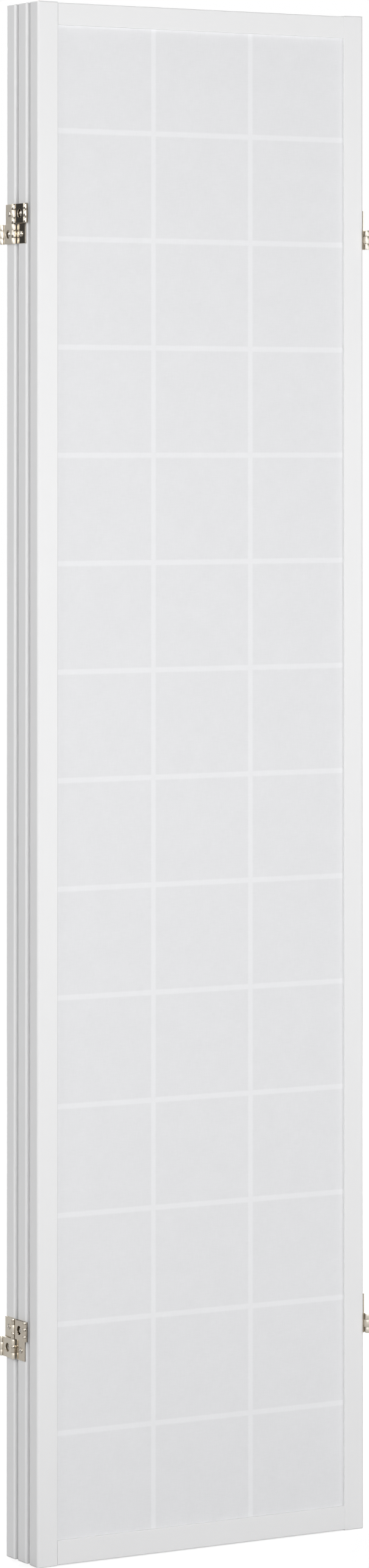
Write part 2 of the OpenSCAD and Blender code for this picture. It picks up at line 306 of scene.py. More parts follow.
def bent_strip(path: SheetPath, thickness: float, height: float, middle: float,
               ease: float) -> Surface:
    """Strip of sheet metal bent along a path, with a rounded far end.

    A point is the path's point, plus the section's across times the path's left-hand
    normal, plus the section's along up Z. At the far end the last stations step on along
    the path by ease times sine while the section is drawn in by ease times one minus
    cosine.

    Args:
        path: the middle line of the sheet, seen from above.
        thickness: of the sheet.
        height: of the strip, up Z.
        middle: height of the strip's middle.
        ease: radius of its edges.

    Returns:
        The closed strip.
    """
    back = path.points[-1] - path.tangents[-1] * ease * (1 - np.sin(EASE_TURNS))[:, None]
    line = np.concatenate([path.points[:-1], back])
    ahead = np.concatenate([path.tangents[:-1], np.repeat(path.tangents[-1:], len(back), 0)])
    insets = np.concatenate([np.zeros(len(path.points) - 1), ease * (1 - np.cos(EASE_TURNS))])
    normal = np.stack([-ahead[:, 1], ahead[:, 0]], axis=-1)
    section = np.stack([rounded_section(thickness, height, ease, inset) for inset in insets])
    flat = line[:, None, :] + section[:, :, :1] * normal[:, None, :]
    return lofted(np.concatenate([flat, section[:, :, 1:] + middle], axis=-1))


@dataclass(frozen=True)
class HoledPlate:
    """Flat plate across X with one round hole, its edges rounded where they are free.

    joints are rectangles in Y and Z, as (y low, y high, z low, z high). Where the border
    lies in one of them, another piece of sheet carries straight on, and the edge is left
    square. flat_from is the distance from an edge, in eases, of the point that keeps the
    face beside it flat.
    """

    low: Pair
    high: Pair
    hole: Pair
    hole_radius: float
    thickness: float
    ease: float
    joints: tuple[Quad, ...] = ()
    side_steps: int = 14
    flat_from: float = 2.5

    def border(self) -> np.ndarray:
        """Points round the outline, anticlockwise from the low corner.

        Returns:
            Array of points by two, Y and Z.
        """
        (y0, z0), (y1, z1) = self.low, self.high
        marks = [value for joint in self.joints for value in joint[2:] if z0 < value < z1]
        ys = np.linspace(y0, y1, self.side_steps)
        zs = np.unique(np.concatenate([np.linspace(z0, z1, self.side_steps), marks]))
        sides = [
            np.stack([ys[:-1], np.full(len(ys) - 1, z0)], axis=-1),
            np.stack([np.full(len(zs) - 1, y1), zs[:-1]], axis=-1),
            np.stack([ys[:0:-1], np.full(len(ys) - 1, z1)], axis=-1),
            np.stack([np.full(len(zs) - 1, y0), zs[:0:-1]], axis=-1),
        ]
        return np.concatenate(sides)

    def surface(self, x: float) -> Surface:
        """The plate with the middle of its thickness at x.

        Each border point gives a closed loop: up the hole's wall, over the face along
        the straight line from the hole to the border, down the border and back. An edge
        is rounded by ease, with one more point beside it that keeps the face flat.

        Args:
            x: place of the plate's middle.

        Returns:
            The closed plate.
        """
        rim = self.border()
        free = np.ones(len(rim))
        for y0, y1, z0, z1 in self.joints:
            inside = (rim[:, 0] >= y0) & (rim[:, 0] <= y1)
            free[inside & (rim[:, 1] >= z0) & (rim[:, 1] <= z1)] = 0
        ray = rim - np.array(self.hole)
        ray /= np.linalg.norm(ray, axis=1, keepdims=True)
        inset = self.ease * np.concatenate([1 - np.cos(EASE_TURNS), [self.flat_from]])
        depth = self.thickness / 2 - self.ease * np.concatenate([1 - np.sin(EASE_TURNS), [0]])
        inner = np.array(self.hole) + (self.hole_radius + inset)[None, :, None] * ray[:, None, :]
        drawn = free[:, None, None] * inset[None, :, None]
        outer = np.clip(rim[:, None, :], np.array(self.low) + drawn, np.array(self.high) - drawn)
        upper = np.concatenate([inner, outer[:, ::-1]], axis=1)
        across = np.concatenate([depth, depth[::-1]])
        loop = np.concatenate([upper, upper[:, ::-1]], axis=1)
        height = np.broadcast_to(np.concatenate([across, -across[::-1]]) + x, loop.shape[:2])
        return lofted(np.concatenate([height[:, :, None], loop], axis=-1), closed=True)


def piece_from(surface: Surface, name: str, finish: Material) -> bpy.types.Object:
    """Makes a mesh object at the origin from a surface.

    Args:
        surface: the points and faces, in the frame.
        name: the object's name.
        finish: its material.

    Returns:
        The object, linked to the scene.
    """
    mesh = bpy.data.meshes.new(name)
    mesh.from_pydata(surface.points.tolist(), [],
                     surface.quads.tolist() + surface.triangles.tolist())
    mesh.polygons.foreach_set("use_smooth", np.ones(len(mesh.polygons), bool))
    mesh.set_sharp_from_angle(angle=SHARP_FROM)
    mesh.materials.append(finish)
    mesh.update()
    piece = bpy.data.objects.new(name, mesh)
    bpy.context.scene.collection.objects.link(piece)
    return piece


def seat_piece(piece: bpy.types.Object, node: str) -> None:
    """Lets a piece stand for a node, on that node's body.

    Args:
        piece: the new piece, in its place.
        node: the node that it replaces.
    """
    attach(piece, frame["nodes"][node]["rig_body"])
    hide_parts(node)
    log.info("%s: %d faces, for %s", piece.name, len(piece.data.polygons), node)


def dress_node(node: str, finish: Material) -> None:
    """Puts a finish on every material slot of a node's object.

    Args:
        node: the node's name.
        finish: the material.
    """
    item = frame["nodes"][node]
    for index in range(len(item.material_slots)):
        item.material_slots[index].material = finish
    log.info("%s: %s", node, finish.name)


# Finishes


class Graph:
    """The nodes of a material or a world, built from nothing."""

    def __init__(self, owner: Material | bpy.types.World) -> None:
        """Clears the owner's nodes.

        Args:
            owner: the material or world to build in.
        """
        owner.use_nodes = True
        self.tree = owner.node_tree
        self.tree.nodes.clear()

    def add(self, kind: str, inputs: dict | None = None, **settings: object) -> bpy.types.Node:
        """Adds a node.

        Args:
            kind: the node's type without its ShaderNode prefix.
            inputs: values or outputs for its sockets, by the socket's name or number.
            settings: the node's own settings.

        Returns:
            The node.
        """
        node = self.tree.nodes.new("ShaderNode" + kind)
        for name, value in settings.items():
            setattr(node, name, value)
        for key, value in (inputs or {}).items():
            if isinstance(value, Socket):
                self.tree.links.new(value, node.inputs[key])
            else:
                node.inputs[key].default_value = value
        return node

    def math(self, operation: str, *values: object) -> Socket:
        """The result of one operation on values or outputs."""
        return self.add("Math", dict(enumerate(values)), operation=operation).outputs[0]

    def noise(self, place: Socket, scale: float, detail: float = 2.0,
              stretch: Triple = (1.0, 1.0, 1.0)) -> Socket:
        """Soft random pattern.

        Args:
            place: the coordinates that it reads.
            scale: spots to a metre.
            detail: octaves of finer spots.
            stretch: share of the scale along each axis.

        Returns:
            The pattern's strength, from 0 to 1.
        """
        mapped = self.add("Mapping", {"Vector": place, "Scale": stretch}).outputs[0]
        settings = {"Vector": mapped, "Scale": scale, "Detail": detail}
        return self.add("TexNoise", settings).outputs["Fac"]

    def spread(self, value: Socket, low: float, high: float, step: Pair = (0.3, 0.7),
               rise: str = "LINEAR") -> Socket:
        """A value mapped to run from low to high.

        Args:
            value: the pattern or measure that is mapped.
            low: the result up to the step's start.
            high: the result from the step's end on.
            step: the values at which the rise starts and ends.
            rise: the kind of rise, straight or smooth.

        Returns:
            The mapped value.
        """
        inputs = {"Value": value, "From Min": step[0], "From Max": step[1],
                  "To Min": low, "To Max": high}
        return self.add("MapRange", inputs, interpolation_type=rise).outputs[0]

    def smooth(self, value: Socket, low: float, high: float, step: Pair) -> Socket:
        """A value mapped from low to high by a smooth step."""
        return self.spread(value, low, high, step, "SMOOTHSTEP")

    def along(self, direction: Socket, axis: Triple) -> Socket:
        """A direction's share along an axis: their dot product."""
        product = self.add("VectorMath", {0: direction, 1: axis}, operation="DOT_PRODUCT")
        return product.outputs["Value"]

    def rays(self) -> tuple[Socket, Socket]:
        """Two outputs: 1 for what is seen straight or through glass, 1 for a reflection."""
        path = self.add("LightPath").outputs
        direct = self.math("MAXIMUM", path["Is Camera Ray"], path["Is Transmission Ray"])
        return direct, path["Is Glossy Ray"]

    def tinted(self, colour: Triple, strength: Socket) -> Socket:
        """A colour times a pattern's strength."""
        scaled = self.add("VectorMath", {0: colour, "Scale": strength}, operation="SCALE")
        return scaled.outputs[0]

    def bump(self, height: Socket, distance: float, **beneath: Socket) -> Socket:
        """A normal tilted by heights that rise by distance metres, over another Normal."""
        inputs = {"Height": height, "Distance": distance, "Strength": 1.0, **beneath}
        return self.add("Bump", inputs).outputs[0]

    def finish(self, shader: bpy.types.Node) -> None:
        """Sends a shader to the material's output."""
        output = self.add("OutputMaterial")
        self.tree.links.new(shader.outputs[0], output.inputs["Surface"])


def new_finish(name: str) -> tuple[Material, Graph, Socket]:
    """Starts a material on an object's own coordinates.

    Args:
        name: the material's name.

    Returns:
        The material, its nodes, and the coordinates.
    """
    made = bpy.data.materials.new(name)
    graph = Graph(made)
    return made, graph, graph.add("TexCoord").outputs["Object"]


@dataclass(frozen=True)
class SatinPaint:
    """White satin paint over wood, with a trace of the grain and of the spray's skin."""

    name: str
    grain: Grain
    colour: Triple = (0.868, 0.868, 0.872)
    cloud_tone: float = 0.004
    grain_tone: float = 0.003
    roughness: Pair = (0.41, 0.48)
    coat: float = 0.08
    coat_roughness: float = 0.25
    cloud_scale: float = 7.0
    grain_scale: float = 900.0
    skin_scale: float = 1400.0
    grain_rise: float = 0.010 * MM
    skin_rise: float = 0.006 * MM

    def material(self) -> Material:
        """The paint, patterned on the object's own coordinates.

        Returns:
            The material.
        """
        made, graph, place = new_finish(self.name)
        cloud = graph.noise(place, self.cloud_scale)
        grain = graph.noise(place, self.grain_scale, detail=3.0, stretch=self.grain.value)
        skin = graph.noise(place, self.skin_scale, detail=1.0)
        tone = graph.math("ADD", graph.spread(cloud, -self.cloud_tone, self.cloud_tone),
                          graph.spread(grain, 1 - self.grain_tone, 1 + self.grain_tone))
        raised = graph.bump(grain, self.grain_rise)
        graph.finish(graph.add("BsdfPrincipled", {
            "Base Color": graph.tinted(self.colour, tone),
            "Roughness": graph.spread(cloud, *self.roughness),
            "Normal": graph.bump(skin, self.skin_rise, Normal=raised),
            "Coat Weight": self.coat,
            "Coat Roughness": self.coat_roughness,
        }))
        return made


@dataclass(frozen=True)
class ScreenPaper:
    """Long-fibred white paper, brighter where a bar of the lattice backs it.

    pitch and offset give, for X and Z, the distance between bars and the place of one of
    them. The painted glow is brighter colour standing in for light that a bar sends back
    through the paper; its share at a point is a smooth step of its distance to the nearest
    bar's middle line.
    """

    name: str
    pitch: Pair
    offset: Pair
    bar_width: float
    open_colour: Triple = (0.890, 0.893, 0.907)
    # Painted light: the colour's gain over a bar, for the light the bar sends back through the
    # paper
    backed_share: float = 1.068
    through: float = 0.07
    roughness: float = 0.78
    specular: float = 0.25
    edge_blur: float = 0.9 * MM
    fibre_scale: float = 1000.0
    fibre_stretch: float = 0.09
    fibre_tone: float = 0.022
    fibre_rise: float = 0.012 * MM
    pulp_scale: float = 45.0
    pulp_tone: float = 0.008

    def backing(self, graph: Graph, value: Socket, axis: int) -> Socket:
        """Share of painted glow over the bars that repeat along one axis.

        Args:
            graph: the material's nodes.
            value: the coordinate along that axis.
            axis: 0 for the uprights along X, 1 for the cross bars along Z.

        Returns:
            1 over a bar and 0 in the open, with a soft edge.
        """
        shifted = graph.math("SUBTRACT", value, self.offset[axis])
        distance = graph.math("PINGPONG", shifted, self.pitch[axis] / 2)
        half = self.bar_width / 2
        return graph.smooth(distance, 1.0, 0.0, (half - self.edge_blur, half + self.edge_blur))

    def material(self) -> Material:
        """The paper: mostly scattering back, partly letting light through.

        Returns:
            The material.
        """
        made, graph, place = new_finish(self.name)
        split = graph.add("SeparateXYZ", {0: place})
        over_upright = self.backing(graph, split.outputs["X"], 0)
        over_bar = self.backing(graph, split.outputs["Z"], 1)
        painted_glow_mask = graph.math("MAXIMUM", over_upright, over_bar)
        fibres = graph.math("ADD", *(
            graph.spread(graph.noise(place, self.fibre_scale, stretch=stretch), -0.5, 0.5)
            for stretch in ((1.0, 1.0, self.fibre_stretch), (self.fibre_stretch, 1.0, 1.0))
        ))
        cloud = graph.noise(place, self.pulp_scale, detail=3.0)
        pulp = graph.math("ADD", graph.spread(cloud, 1 - self.pulp_tone, 1 + self.pulp_tone),
                          graph.math("MULTIPLY", fibres, self.fibre_tone))
        # Painted light: the colour rises over the bars, for the light they send back through the
        # paper
        lift = graph.spread(painted_glow_mask, 1.0, self.backed_share, (0.0, 1.0))
        colour = graph.tinted(self.open_colour, graph.math("MULTIPLY", pulp, lift))
        normal = graph.bump(fibres, self.fibre_rise)
        front = graph.add("BsdfPrincipled", {
            "Base Color": colour,
            "Roughness": self.roughness,
            "Specular IOR Level": self.specular,
            "Normal": normal,
        })
        behind = graph.add("BsdfTranslucent", {"Color": colour, "Normal": normal})
        graph.finish(graph.add("MixShader", {0: self.through, 1: front.outputs[0],
                                             2: behind.outputs[0]}))
        return made


@dataclass(frozen=True)
class PlatedMetal:
    """Nickel-plated steel: faint rolling lines, soft mottling and a satin polish."""

    name: str
    colour: Triple
    roughness: float
    mottling: float = 0.05
    rough_spread: float = 0.012
    spot_scale: float = 700.0
    line_scale: float = 5000.0
    line_stretch: float = 0.05
    line_rise: float = 0.002 * MM

    def material(self) -> Material:
        """The metal, patterned on the object's own coordinates.

        Returns:
            The material.
        """
        made, graph, place = new_finish(self.name)
        spots = graph.noise(place, self.spot_scale, detail=3.0)
        lines = graph.noise(place, self.line_scale, detail=1.0,
                            stretch=(1.0, self.line_stretch, 1.0))
        tone = graph.spread(spots, 1 - self.mottling, 1 + self.mottling)
        least, most = self.roughness - self.rough_spread, self.roughness + self.rough_spread
        rough = graph.math("ADD", graph.spread(spots, self.rough_spread, -self.rough_spread),
                           graph.spread(lines, least, most))
        graph.finish(graph.add("BsdfPrincipled", {
            "Base Color": graph.tinted(self.colour, tone),
            "Metallic": 1.0,
            "Roughness": rough,
            "Normal": graph.bump(lines, self.line_rise),
        }))
        return made


@dataclass(frozen=True)
class BareBeech:
    """Unfinished beech, with long grain and short dark flecks, for the dowels."""

    name: str
    light: Quad = (0.66, 0.47, 0.29, 1.0)
    dark: Quad = (0.50, 0.32, 0.18, 1.0)
    grain_share: float = 0.7
    fleck_step: Pair = (0.6, 0.7)
    grain_scale: float = 1200.0
    fleck_scale: float = 2500.0
    fleck_stretch: float = 0.2
    grain_rise: float = 0.03 * MM
    roughness: float = 0.68

    def material(self) -> Material:
        """The wood, its grain along X.

        Returns:
            The material.
        """
        made, graph, place = new_finish(self.name)
        grain = graph.noise(place, self.grain_scale, detail=4.0, stretch=Grain.ACROSS.value)
        flecks = graph.noise(place, self.fleck_scale, detail=1.0,
                             stretch=(self.fleck_stretch, 1.0, 1.0))
        share = graph.math("ADD", graph.spread(grain, 0.0, self.grain_share),
                           graph.spread(flecks, 0.0, 1 - self.grain_share, self.fleck_step))
        mixed = graph.add("MixRGB", {"Fac": share, "Color1": self.light, "Color2": self.dark})
        graph.finish(graph.add("BsdfPrincipled", {
            "Base Color": mixed.outputs[0],
            "Roughness": self.roughness,
            "Normal": graph.bump(grain, self.grain_rise),
        }))
        return made


# The paper


@dataclass
class PaperSheet:
    """One panel's paper, stretched over the lattice with its rim in the frame's slit.

    The sheet is plane for flat_rim in from its edge, and the swell of its cells comes in
    over the next stretch, calming.
    """

    panel: PanelName
    finish: Material
    pitch: Pair
    offset: Pair
    glue_line: float = 0.03 * MM
    bulge: float = 0.16 * MM
    cell_turns: Pair = (2.3, 1.7)
    flat_rim: float = 4 * MM
    calming: float = 10 * MM
    columns: int = 66
    rows: int = 290
    node: str = field(init=False)

    def __post_init__(self) -> None:
        """Reads the sheet's box from its node."""
        self.node = f"{self.panel.value}_paper"
        self.low, self.high = (np.array(corner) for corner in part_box(self.node))

    def lift(self, x: np.ndarray, z: np.ndarray) -> np.ndarray:
        """How far the paper stands off its plane.

        In each cell it is bulge times the squared sines of the shares of the way across
        and up, times a cosine that differs from cell to cell, so it is zero along the
        bars.

        Args:
            x: places across the sheet.
            z: places up the sheet.

        Returns:
            The offsets along Y, before the sheet's own facing.
        """
        share_x, share_z = ((place - start) / step for place, start, step in
                            zip((x, z), self.offset, self.pitch))
        cell = np.floor(share_x) * self.cell_turns[0] + np.floor(share_z) * self.cell_turns[1]
        swell = (np.sin(math.pi * share_x) * np.sin(math.pi * share_z)) ** 2
        return self.bulge * swell * np.cos(cell)

    def build(self) -> None:
        """Makes the sheet, a closed slab as thick as the paper, and seats it."""
        facing = 1.0 if self.panel is PanelName.MIDDLE else -1.0
        face_y = self.high[1] if facing > 0 else self.low[1]
        thickness = self.high[1] - self.low[1] - self.glue_line
        x = np.linspace(self.low[0], self.high[0], self.columns)
        z = np.linspace(self.low[2], self.high[2], self.rows)
        grid_x, grid_z = np.meshgrid(x, z)
        rim = np.minimum.reduce([grid_x - self.low[0], self.high[0] - grid_x,
                                 grid_z - self.low[2], self.high[2] - grid_z])
        calm = np.clip((rim - self.flat_rim) / self.calming, 0, 1)
        face = face_y + facing * self.lift(grid_x, grid_z) * calm
        front = np.stack([grid_x, face, grid_z], axis=-1)
        back = np.stack([grid_x, face - facing * thickness, grid_z], axis=-1)
        sheet = lofted(np.concatenate([front, back[:, ::-1]], axis=1))
        piece = piece_from(sheet, f"{self.panel.value}_paper_sheet", self.finish)
        seat_piece(piece, self.node)


# Hinges


@dataclass(frozen=True)
class HingeSizes:
    """Sizes of a double-action hinge, all four alike.

    Axes of a leaf: X out of the panel's edge, Y towards the neighbour that shares the
    inner pin, Z up from the middle of the hinge.
    """

    sheet: float = 1.2 * MM
    pin_radius: float = 1.75 * MM
    barrel_radius: float = 3.0 * MM
    axis_y: float = 14.0 * MM
    half_height: float = 22.6 * MM
    half_gap: float = 0.8 * MM
    leaf_inner: float = 10.4 * MM
    leaf_outer: float = 9.6 * MM
    leaf_knuckle: float = 8.6 * MM
    link_knuckle: float = 6.8 * MM
    link_hole_radius: float = 5.0 * MM
    screw_hole_radius: float = 1.85 * MM
    seam: float = 0.2 * MM
    ease: float = 0.18 * MM
    roll_steps: int = 44
    neck_steps: int = 12

    @property
    def half_middle(self) -> float:
        """Height of the middle of each half, above and below the hinge's middle."""
        return (self.half_height + self.half_gap) / 2

    def leaf_roll(self, reach: float) -> SheetPath:
        """The middle line of a leaf's knuckle.

        It runs straight along Y at the leaf's own plane up to the pin, then clockwise
        round the pin until its outer corner comes back to the leaf, less the seam.

        Args:
            reach: length of the straight stretch.

        Returns:
            The path, with the pin's axis at x = barrel radius, y = 0.
        """
        tangent_x = self.sheet / 2
        closing = math.acos((self.barrel_radius - self.sheet - self.seam) / self.barrel_radius)
        straight = SheetPath.straight((tangent_x, -reach), (tangent_x, 0.0))
        roll_radius = self.barrel_radius - self.sheet / 2
        return straight.then(SheetPath.arc((self.barrel_radius, 0.0), roll_radius,
                                           math.pi, closing - math.pi, self.roll_steps))

    def link_roll(self, reach: float) -> SheetPath:
        """The middle line of a link's knuckle, with the pin's axis at x = 0, y = 0.

        The bar comes in along Y in line with the pin. At its end the sheet bends aside on
        a neck circle that touches both the bar's line and the roll's circle: the neck's
        centre is at x = -neck radius, and as far from the pin as both radii together.
        Then the sheet rolls clockwise round the pin until its outer corner is a seam away
        from the bar's face.

        Args:
            reach: distance from the pin to the end of the bar.

        Returns:
            The path.
        """
        roll_radius = self.pin_radius + self.sheet / 2
        neck_radius = (reach ** 2 - roll_radius ** 2) / (2 * roll_radius)
        touch = math.atan2(reach, neck_radius)
        outside = roll_radius + self.sheet / 2
        closing = -math.acos((self.sheet / 2 + self.seam) / outside)
        neck = SheetPath.arc((-neck_radius, -reach), neck_radius, 0.0, touch, self.neck_steps)
        roll = SheetPath.arc((0.0, 0.0), roll_radius, math.pi + touch, closing,
                             self.roll_steps)
        return neck.then(roll)


MIRROR_Y = Seat(np.diag([1.0, -1.0, 1.0]), np.zeros(3))


@dataclass
class Hinge:
    """One double-action hinge: two leaves and two links, each its own piece."""

    side: Side
    level: Level
    sizes: HingeSizes
    outer_finish: Material
    middle_finish: Material

    def node(self, panel: PanelName, part: str) -> str:
        """The name of the node of one of the hinge's pieces."""
        return f"{self.side.word}_{self.level.value}_{panel.value}_{part}"

    def seat(self, panel: PanelName) -> Seat:
        """Where a panel's leaf sits, from the stile's edge and the leaf's own box.

        The outer panel's leaf is turned half a turn about Z on the left. The middle
        panel's leaf is the same piece turned upside down.

        Args:
            panel: the panel that carries the leaf.

        Returns:
            The seat, from the leaf's axes into the frame.
        """
        low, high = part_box(f"{panel.value}_{self.side.word}_stile")
        leaf_low, leaf_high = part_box(self.node(panel, "leaf"))
        edge = low[0] if self.side is Side.LEFT else high[0]
        place = np.array([edge, (low[1] + high[1]) / 2, (leaf_low.z + leaf_high.z) / 2])
        out = float(self.side.value)
        upright = -1.0 if panel is PanelName.MIDDLE else 1.0
        return Seat(np.diag([out, out * upright, upright]), place)

    def leaf(self) -> Surface:
        """A leaf in its own axes: two holed halves of the plate and two knuckles.

        Returns:
            The leaf.
        """
        sizes = self.sizes
        half_h = sizes.half_height + sizes.half_gap / 2
        reach = sizes.leaf_knuckle / 2
        shells = []
        for up in (1.0, -1.0):
            edge = sizes.leaf_inner if up > 0 else -sizes.leaf_outer
            middle = up * sizes.half_middle
            knuckle = (edge - sizes.ease, edge + sizes.ease, middle - reach, middle + reach)
            halves_meet = (-sizes.leaf_outer, sizes.leaf_inner, -sizes.ease, sizes.ease)
            plate = HoledPlate(
                low=(-sizes.leaf_outer, min(0.0, up * half_h)),
                high=(sizes.leaf_inner, max(0.0, up * half_h)),
                hole=(0.0, middle),
                hole_radius=sizes.screw_hole_radius,
                thickness=sizes.sheet,
                ease=sizes.ease,
                joints=(knuckle, halves_meet),
            )
            roll = bent_strip(sizes.leaf_roll(sizes.axis_y - abs(edge)), sizes.sheet,
                              sizes.leaf_knuckle, middle, sizes.ease)
            at_pin = Seat.at(0.0, sizes.axis_y, 0.0)
            turned = at_pin if up > 0 else MIRROR_Y.after(at_pin)
            shells += [plate.surface(sizes.sheet / 2), roll.placed(turned).outward()]
        return joined(shells)

    def link(self) -> Surface:
        """A link in its leaf's axes: a holed bar and four knuckles, in the lower half.

        Returns:
            The link.
        """
        sizes = self.sizes
        half_h, edge = sizes.half_height / 2, sizes.leaf_inner
        inner_z = half_h - sizes.link_knuckle
        joints = tuple(
            (y - sizes.ease, y + sizes.ease, *heights)
            for y in (edge, -edge) for heights in ((inner_z, half_h), (-half_h, -inner_z))
        )
        bar = HoledPlate(low=(-edge, -half_h), high=(edge, half_h), hole=(0.0, 0.0),
                         hole_radius=sizes.link_hole_radius, thickness=sizes.sheet,
                         ease=sizes.ease, joints=joints)
        shells = [bar.surface(0.0)]
        for z_sign in (1, -1):
            middle = z_sign * (half_h - sizes.link_knuckle / 2)
            roll = bent_strip(sizes.link_roll(sizes.axis_y - edge), sizes.sheet,
                              sizes.link_knuckle, middle, sizes.ease)
            at_pin = Seat.at(0.0, sizes.axis_y, 0.0)
            shells += [roll.placed(at_pin), roll.placed(MIRROR_Y.after(at_pin)).outward()]
        return joined(shells).placed(Seat.at(sizes.barrel_radius, 0.0, -sizes.half_middle))

    def build(self) -> None:
        """Makes and seats the four pieces."""
        leaf, link = self.leaf(), self.link()
        for panel in (self.side.outer_panel, PanelName.MIDDLE):
            seat = self.seat(panel)
            finish = self.middle_finish if panel is PanelName.MIDDLE else self.outer_finish
            for part, shape in (("leaf", leaf), ("link", link)):
                node = self.node(panel, part)
                piece = piece_from(shape.placed(seat), f"{node}_sheet", finish)
                seat_piece(piece, node)


def round_x(along: np.ndarray, radius: np.ndarray, angle: np.ndarray) -> np.ndarray:
    """Points round the X axis: along it, then radius times the angle's cosine and sine."""
    grid = np.broadcast_arrays(along, radius * np.cos(angle), radius * np.sin(angle))
    return np.stack(grid, axis=-1)


@dataclass
class ScrewSet:
    """The screws in one panel's leaves: domed pan heads with a cross recess.

    hub and point_least are shares of a radius: where the rings of the head's top start,
    and what is left at the screw's point. A cross is turned by first_turn, by
    turn_by_leaf for each leaf before its own, and by turn_by_half up or down.
    """

    panel: PanelName
    sizes: HingeSizes
    finish: Material
    head_radius: float = 3.25 * MM
    head_height: float = 1.6 * MM
    dome_rise: float = 0.8 * MM
    shoulder: float = 0.3 * MM
    recess_reach: float = 1.9 * MM
    recess_width: float = 0.85 * MM
    recess_depth: float = 1.0 * MM
    recess_slope: float = 0.16 * MM
    recess_taper: float = 0.45
    hub: float = 0.02
    shank_radius: float = 1.75 * MM
    thread_depth: float = 0.35 * MM
    thread_pitch: float = 1.4 * MM
    length: float = 16.0 * MM
    point: float = 4.0 * MM
    point_least: float = 0.08
    first_turn: float = 0.35
    turn_by_leaf: float = 0.9
    turn_by_half: float = 0.5
    around: int = 96
    across: int = 30
    shoulder_steps: int = 5
    down_steps: int = 90

    @property
    def angles(self) -> np.ndarray:
        """The places round the screw, as one row."""
        return np.linspace(0, 2 * math.pi, self.around, endpoint=False)[None, :]

    def head_top(self, turn: float) -> np.ndarray:
        """Rings of points over the head's top and down its rounded shoulder.

        The dome is a parabola that falls by its rise from the middle to the rim. The
        cross is sunk into it: a point's depth is the full depth, less a share for its
        distance from the middle, times smooth steps of how far it lies inside an arm.

        Args:
            turn: angle of the cross, in radians.

        Returns:
            Array of rings by points by three, the head's axis along X.
        """
        angle = self.angles
        flat = self.head_radius - self.shoulder
        radius = np.linspace(self.hub, 1.0, self.across)[:, None] * flat
        u, v = radius * np.cos(angle - turn), radius * np.sin(angle - turn)
        short, long = np.minimum(abs(u), abs(v)), np.maximum(abs(u), abs(v))
        inside = (np.clip((self.recess_width / 2 - short) / self.recess_slope + 0.5, 0, 1)
                  * np.clip((self.recess_reach - long) / self.recess_slope + 0.5, 0, 1))
        sunk = self.recess_depth * (1 - self.recess_taper * long / self.recess_reach) * inside
        dome = self.head_height - self.dome_rise * (radius / self.head_radius) ** 2
        rim = self.head_height - self.dome_rise * (flat / self.head_radius) ** 2
        fall = np.linspace(0, QUARTER, self.shoulder_steps)[1:, None]
        side_x = np.concatenate([rim - self.shoulder * (1 - np.cos(fall)), [[0.0]]])
        side_r = np.concatenate([flat + self.shoulder * np.sin(fall), [[self.head_radius]]])
        top = round_x(dome - sunk, radius, angle)
        return np.concatenate([top, round_x(side_x, side_r, angle)])

    def shank(self) -> np.ndarray:
        """Rings of points down the threaded shank to its point.

        The thread is a ridge on a helix: the radius gains a share of the depth that
        falls off evenly on both sides of the crest, which climbs one pitch each turn.

        Returns:
            Array of rings by points by three.
        """
        down = np.linspace(0.0, self.length, self.down_steps)[:, None]
        phase = (down / self.thread_pitch + self.angles / (2 * math.pi)) % 1.0
        ridge = np.clip(1 - abs(phase - 0.5) * 4, 0, 1)
        taper = np.clip((self.length - down) / self.point, self.point_least, 1.0)
        radius = (self.shank_radius - self.thread_depth * (1 - ridge)) * taper
        return round_x(-down, radius, self.angles)

    def build(self, seats: list[Seat]) -> None:
        """Makes the panel's screws as one piece and seats it.

        Args:
            seats: the seats of the panel's leaves.
        """
        shells = []
        for number, seat in enumerate(seats):
            for up in (1.0, -1.0):
                turn = self.first_turn + self.turn_by_leaf * number + self.turn_by_half * up
                screw = lofted(np.concatenate([self.head_top(turn), self.shank()]))
                hole = Seat.at(self.sizes.sheet, 0.0, up * self.sizes.half_middle)
                shells.append(screw.placed(seat.after(hole)).outward())
        piece = piece_from(joined(shells), f"{self.panel.value}_cross_screws", self.finish)
        seat_piece(piece, f"{self.panel.value}_hinge_screws")


# The whole screen


@dataclass
class Panel:
    """One panel: its frame and lattice dressed in paint, and its dowels in beech."""

    name: PanelName
    upright_paint: Material
    level_paint: Material
    wood: Material

    def dress(self) -> None:
        """Gives the panel's wooden nodes their finishes, each along its own length."""
        finishes = {
            "left_stile": self.upright_paint,
            "right_stile": self.upright_paint,
            "lattice_uprights": self.upright_paint,
            "top_rail": self.level_paint,
            "bottom_rail": self.level_paint,
            "lattice_bars": self.level_paint,
            "dowels": self.wood,
        }
        for part, finish in finishes.items():
            dress_node(f"{self.name.value}_{part}", finish)


